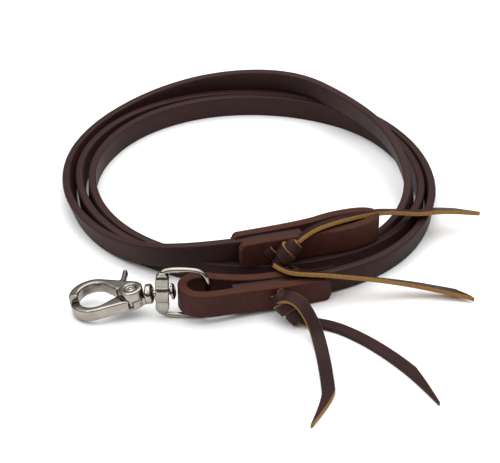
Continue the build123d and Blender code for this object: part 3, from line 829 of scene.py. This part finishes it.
def leather(name, grain, raw, mark, roughness, raw_roughness, shine, grain_depth=0.12):
    """Leather with two colours for its grain face and two for the raw leather, which shows where the point
    attribute mark is 1. Grain colour follows patches*PATCH_SHARE + pits*PIT_SHARE, and the bump is the cell
    walls plus half the pits, with the fibres on top. shine is the specular level."""
    material, tree, shader = new_material(name)
    place = add(tree, "ShaderNodeTexCoord").outputs["Object"]
    patches = add(tree, "ShaderNodeTexNoise", {"Scale": PATCHES, "Detail": 4.0, "Roughness": 0.55},
                  Vector=place)
    cells = add(tree, "ShaderNodeTexVoronoi", {"feature": "DISTANCE_TO_EDGE", "Scale": GRAIN}, Vector=place)
    pits = add(tree, "ShaderNodeTexNoise", {"Scale": GRAIN * 0.4, "Detail": 6.0}, Vector=place)
    fibres = add(tree, "ShaderNodeTexNoise", {"Scale": FIBRES, "Detail": 5.0, "Roughness": 0.7}, Vector=place)

    pitted = add(tree, "ShaderNodeMath", {"operation": "MULTIPLY", 1: PIT_SHARE}, _0=pits.outputs["Fac"])
    mottled = add(tree, "ShaderNodeMath", {"operation": "MULTIPLY_ADD", 1: PATCH_SHARE},
                  _0=patches.outputs["Fac"], _2=pitted.outputs[0])
    face_colour = add(tree, "ShaderNodeValToRGB", {"stops": [(0.36, grain[0]), (0.64, grain[1])]},
                      Fac=mottled.outputs[0])
    raw_colour = add(tree, "ShaderNodeValToRGB", {"stops": [(0.35, raw[0]), (0.65, raw[1])]},
                     Fac=fibres.outputs["Fac"])

    marked = add(tree, "ShaderNodeAttribute", {"attribute_name": mark})
    fringe = add(tree, "ShaderNodeMath", {"operation": "MULTIPLY_ADD", 1: 0.35, 2: -0.17},
                 _0=fibres.outputs["Fac"])
    ragged = add(tree, "ShaderNodeMath", {"operation": "ADD"}, _0=marked.outputs["Fac"], _1=fringe.outputs[0])
    share = add(tree, "ShaderNodeMapRange", {"From Min": 0.35, "From Max": 0.65}, Value=ragged.outputs[0])
    colour = add(tree, "ShaderNodeMix", {"data_type": "RGBA"}, _0=share.outputs[0],
                 _6=face_colour.outputs["Color"], _7=raw_colour.outputs["Color"])
    tree.links.new(colour.outputs[2], shader.inputs["Base Color"])

    worn = add(tree, "ShaderNodeMapRange", {"From Min": 0.3, "From Max": 0.7, "To Min": roughness - 0.06,
                                            "To Max": roughness + 0.08}, Value=pits.outputs["Fac"])
    rough = add(tree, "ShaderNodeMix", {"data_type": "FLOAT", 3: raw_roughness},
                _0=share.outputs[0], _2=worn.outputs[0])
    tree.links.new(rough.outputs[0], shader.inputs["Roughness"])

    walls = add(tree, "ShaderNodeMapRange", {"From Min": 0.0, "From Max": 0.12},
                Value=cells.outputs["Distance"])
    relief = add(tree, "ShaderNodeMath", {"operation": "MULTIPLY_ADD", 1: 0.5},
                 _0=pits.outputs["Fac"], _2=walls.outputs[0])
    pressed = add(tree, "ShaderNodeBump", {"Strength": grain_depth, "Distance": GRAIN_PRESSED},
                  Height=relief.outputs[0])
    raised = add(tree, "ShaderNodeBump", {"Strength": 0.25, "Distance": FIBRES_RAISED},
                 Height=fibres.outputs["Fac"], Normal=pressed.outputs[0])
    tree.links.new(raised.outputs[0], shader.inputs["Normal"])
    shader.inputs["IOR"].default_value = LEATHER_IOR
    shader.inputs["Specular IOR Level"].default_value = shine
    return material


# %% [markdown]
# ## The three leathers
#
# The strap is burgundy harness leather whose edges have been rubbed smooth with wax, so they shine more
# than its faces. The loops are a redder russet of the same kind, left raw and dry at their edges. The
# lace is latigo, nearly black cherry on its grain and tan wherever the knife or the split has opened it,
# which the attribute flesh says.

# %% The three leathers
harness = leather("oiled burgundy harness leather", grain=("#281818", "#392423"), raw=("#2a1918", "#3a2521"),
                  mark="cut", roughness=0.54, raw_roughness=0.36, shine=0.13)
russet = leather("waxed russet harness leather", grain=("#341a16", "#49251f"), raw=("#371e17", "#4f2f22"),
                 mark="cut", roughness=0.5, raw_roughness=0.75, shine=0.13)
latigo = leather("oiled latigo lace", grain=("#231515", "#341e1d"), raw=("#71522b", "#97723f"),
                 mark="flesh", roughness=0.46, raw_roughness=0.8, shine=0.12, grain_depth=0.2)


def finish(pieces, material):
    """Gives every piece that one material."""
    for piece in pieces:
        piece.data.materials.clear()
        piece.data.materials.append(material)
    print(material.name, "on", len(pieces), "pieces")


finish([rein_strap], harness)
finish([bit_loop, snap_loop], russet)
finish([upper_tail, lower_tail, front_tail, side_tail, bit_knot, snap_knot, bit_stitch, snap_stitch], latigo)


# %% [markdown]
# ## The metal's finish
#
# The dee, the swivel and the snap are cast, tumbled and nickel plated. Nickel is a metal with a slightly
# warm grey colour. Tumbling leaves it bright but not like a mirror: the reflection wavers over a few
# millimetres. An even polished metal would look like a chrome ball, so the colour, the roughness and the
# surface each follow a noise of their own scale. The spring is bare drawn wire, a little rougher and
# without the warmth.

# %% Metal finishes
PLATE_DRIFT = 1 / (9 * MM)
PLATE_FINE = 1 / (0.7 * MM)
WAVER_HEIGHT = 0.15 * MM


def plated(name, dark, light, roughness, waver):
    """A plated casting: metallic, its colour drifting from dark to light, its roughness 0.7 to 1.5 times
    the one given, and its surface wavering over waver mm."""
    material, tree, shader = new_material(name)
    place = add(tree, "ShaderNodeTexCoord").outputs["Object"]
    drift = add(tree, "ShaderNodeTexNoise", {"Scale": PLATE_DRIFT, "Detail": 3.0}, Vector=place)
    fine = add(tree, "ShaderNodeTexNoise", {"Scale": PLATE_FINE, "Detail": 4.0}, Vector=place)
    wave = add(tree, "ShaderNodeTexNoise", {"Scale": 1 / (waver * MM), "Detail": 2.0}, Vector=place)
    colour = add(tree, "ShaderNodeValToRGB", {"stops": [(0.35, dark), (0.65, light)]},
                 Fac=drift.outputs["Fac"])
    tree.links.new(colour.outputs["Color"], shader.inputs["Base Color"])
    rough = add(tree, "ShaderNodeMapRange", {"From Min": 0.35, "From Max": 0.65, "To Min": roughness * 0.7,
                                             "To Max": roughness * 1.5}, Value=fine.outputs["Fac"])
    tree.links.new(rough.outputs[0], shader.inputs["Roughness"])
    bump = add(tree, "ShaderNodeBump", {"Strength": 0.2, "Distance": WAVER_HEIGHT},
               Height=wave.outputs["Fac"])
    tree.links.new(bump.outputs[0], shader.inputs["Normal"])
    shader.inputs["Metallic"].default_value = 1.0
    return material


nickel = plated("tumbled nickel plate", "#8b867e", "#a09a90", roughness=0.12, waver=3.0)
spring_wire = plated("drawn spring wire", "#8b8b8d", "#a6a6a8", roughness=0.3, waver=1.0)
print("metal finishes:", nickel.name, "and", spring_wire.name)


# %% [markdown]
# ## Castings
#
# The snap is two castings that have been tumbled with stones until no edge is sharp. A bevel on every
# edge would be even and hard to hold on a shape full of holes. So each casting is a copy of its CAD
# solid, remeshed into small even squares, whose points are then moved towards their neighbours a number
# of times, which is what tumbling does.

# %% Tumbled castings
VOXEL = 0.4 * MM
TUMBLING = 14                   # times that each point is moved


def tumbled(node, name, body, passes):
    """A copy of a CAD casting with worn edges: its doubles merged, remeshed in even squares, and each point
    moved half way to the mean of its neighbours, passes times."""
    blank = bpy.data.objects.new(name + "_blank", frame["nodes"][node].data.copy())
    bpy.context.scene.collection.objects.link(blank)
    merged = bmesh.new()
    merged.from_mesh(blank.data)
    bmesh.ops.remove_doubles(merged, verts=merged.verts, dist=1e-6)
    merged.to_mesh(blank.data)
    merged.free()
    even = blank.modifiers.new("even", "REMESH")
    even.mode = "VOXEL"
    even.voxel_size = VOXEL
    even.use_smooth_shade = True
    worn = blank.modifiers.new("worn", "SMOOTH")
    worn.factor = 0.5
    worn.iterations = passes
    mesh = bpy.data.meshes.new_from_object(blank.evaluated_get(bpy.context.evaluated_depsgraph_get()))
    bpy.data.objects.remove(blank)
    mesh.name = name
    piece = bpy.data.objects.new(name, mesh)
    bpy.context.scene.collection.objects.link(piece)
    print(name, "faces", len(mesh.polygons))
    finish([piece], nickel)
    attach(piece, body)
    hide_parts(node)


tumbled("snap_body", "snap_body_casting", "snap", TUMBLING)
tumbled("trigger_jaw", "trigger_jaw_casting", "trigger", TUMBLING)

# %% [markdown]
# ## The jaw's rivet
#
# The two castings turn on a rivet that was set from the near side, so its head there has a raised ring
# with a small point in the middle. A round thing like this is quickest as a turned shape: a profile
# carried round an axis. The place and direction of the axis are the trigger joint's own, so the rivet
# stays true if the joint is moved.

# %% The jaw's rivet
trigger_joint = next(j for j in frame["joints"] if j["name"] == "trigger")
swivel_joint = next(j for j in frame["joints"] if j["name"] == "snap_swivel")
hub = np.array(trigger_joint["pos_m"])
snap_up = -unit(np.array(trigger_joint["axis"], float))
snap_ahead = hub - np.array(swivel_joint["pos_m"])
snap_ahead = unit(snap_ahead - snap_up * (snap_ahead @ snap_up))
RIVET_STEPS = 48


def turned(name, centre, axis, beside, profile, steps):
    """A turned shape: each (radius, height) in mm of the profile goes round the axis,
        centre + axis*height + (beside*cos(t) + (axis x beside)*sin(t))*radius.
    The profile starts and ends on the axis."""
    radius, height = np.array(profile, float).T * MM
    t = np.linspace(0, 2 * np.pi, steps, endpoint=False)
    ring = beside * np.cos(t)[:, None] + np.cross(axis, beside) * np.sin(t)[:, None]
    points = centre + axis * height[1:-1, None, None] + ring * radius[1:-1, None, None]
    points = np.vstack([points.reshape(-1, 3), centre + axis * height[0], centre + axis * height[-1]])
    return new_piece(name, points, skin(len(profile) - 2, steps), {})


rivet = turned("jaw_rivet_pin", hub, snap_up, snap_ahead, [
    (0, -6.0), (3.2, -6.0), (3.6, -5.7), (3.6, -4.9), (2.2, -4.85), (2.2, 4.0), (3.3, 4.2), (3.45, 4.5),
    (3.3, 4.8), (2.4, 4.95), (1.5, 5.0), (1.35, 5.4), (1.2, 5.8), (0.7, 6.0), (0, 6.05)], RIVET_STEPS)
finish([rivet], nickel)
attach(rivet, "snap")
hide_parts("jaw_rivet")

# %% [markdown]
# ## The dee
#
# The dee is a round wire bow cast in one with a flat bar. The real bar is bored for the swivel's rivet and
# swells round the bore. The rivet fills the bore, so the swelling is drawn and the bore isn't. A shoulder
# at each end takes the bow. Both parts are bands with very round edges: the bow's section is a circle, and
# the bar's half widths change along it. The dee leans a little against its loop.

# %% The dee
DEE_BAR = (-65.5 * MM, -76.0 * MM, 17.0 * MM)
DEE_LEAN = np.radians(8)
DEE_WIRE = 1.75 * MM
DEE_SPACING = 0.8 * MM
WIRE_ROUND = 0.98 * DEE_WIRE
BAR_HALF, BAR_STEPS, BAR_ROUND = 12.6, 64, 1.3 * MM
BOSS_REACH, SHOULDER_FROM, SHOULDER_FALL = 5.2, 8.5, 4.3

dee_up = np.array([0, np.sin(DEE_LEAN), np.cos(DEE_LEAN)])
dee_side = np.array([0, np.cos(DEE_LEAN), -np.sin(DEE_LEAN)])


def in_dee(points):
    """Points in the frame, from (x, y, z) in mm beside the dee's bar, x along the swivel, z up the bar."""
    p = np.array(points, float) * MM
    return np.array(DEE_BAR) + p[:, :1] * [1.0, 0, 0] + p[:, 1:2] * dee_side + p[:, 2:] * dee_up


def quarter_round(d):
    """1 at 0, falling along a quarter circle to 0 at 1 and beyond: sqrt(1 - d^2)."""
    return np.sqrt(np.clip(1 - d ** 2, 0, 1))


upper_bow = [(-0.6, 0, 7), (-1.6, 0, 13.2), (4.5, 0, 15.2), (14, 0, 15.4), (24.6, 0, 14.2), (28.2, 0, 6)]
bow_route = upper_bow + [(x, y, -z) for x, y, z in reversed(upper_bow)]
bow_line, _ = eased_line("bow_route", in_dee(bow_route))
(bow_line,) = respaced(bow_line, DEE_SPACING)
bow = band("dee_bow", bow_line, dee_side, DEE_WIRE, DEE_WIRE, WIRE_ROUND)

level = np.linspace(-BAR_HALF, BAR_HALF, BAR_STEPS)
boss = quarter_round(level / BOSS_REACH)
shoulder = quarter_round(np.clip(np.abs(level) - SHOULDER_FROM, 0, None) / SHOULDER_FALL)
bar = band("dee_bar", in_dee(np.c_[np.zeros((BAR_STEPS, 2)), level]), dee_side, (1.9 + 2.3 * shoulder) * MM,
           (2.0 + 1.5 * shoulder + 1.6 * boss) * MM, BAR_ROUND)
dee = joined([bar, bow], "swivel_dee_casting")
finish([dee], nickel)
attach(dee, "dee")
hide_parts("swivel_dee")

# %% [markdown]
# ## The CAD's own metal
#
# The swivel's rivet and the spring are as round and as fine in the CAD as they need to be, and they sit
# mostly out of sight. They keep their meshes and only get their metal.

# %% The CAD's own metal
finish([frame["nodes"]["swivel_rivet"]], nickel)
finish([frame["nodes"]["trigger_spring"]], spring_wire)
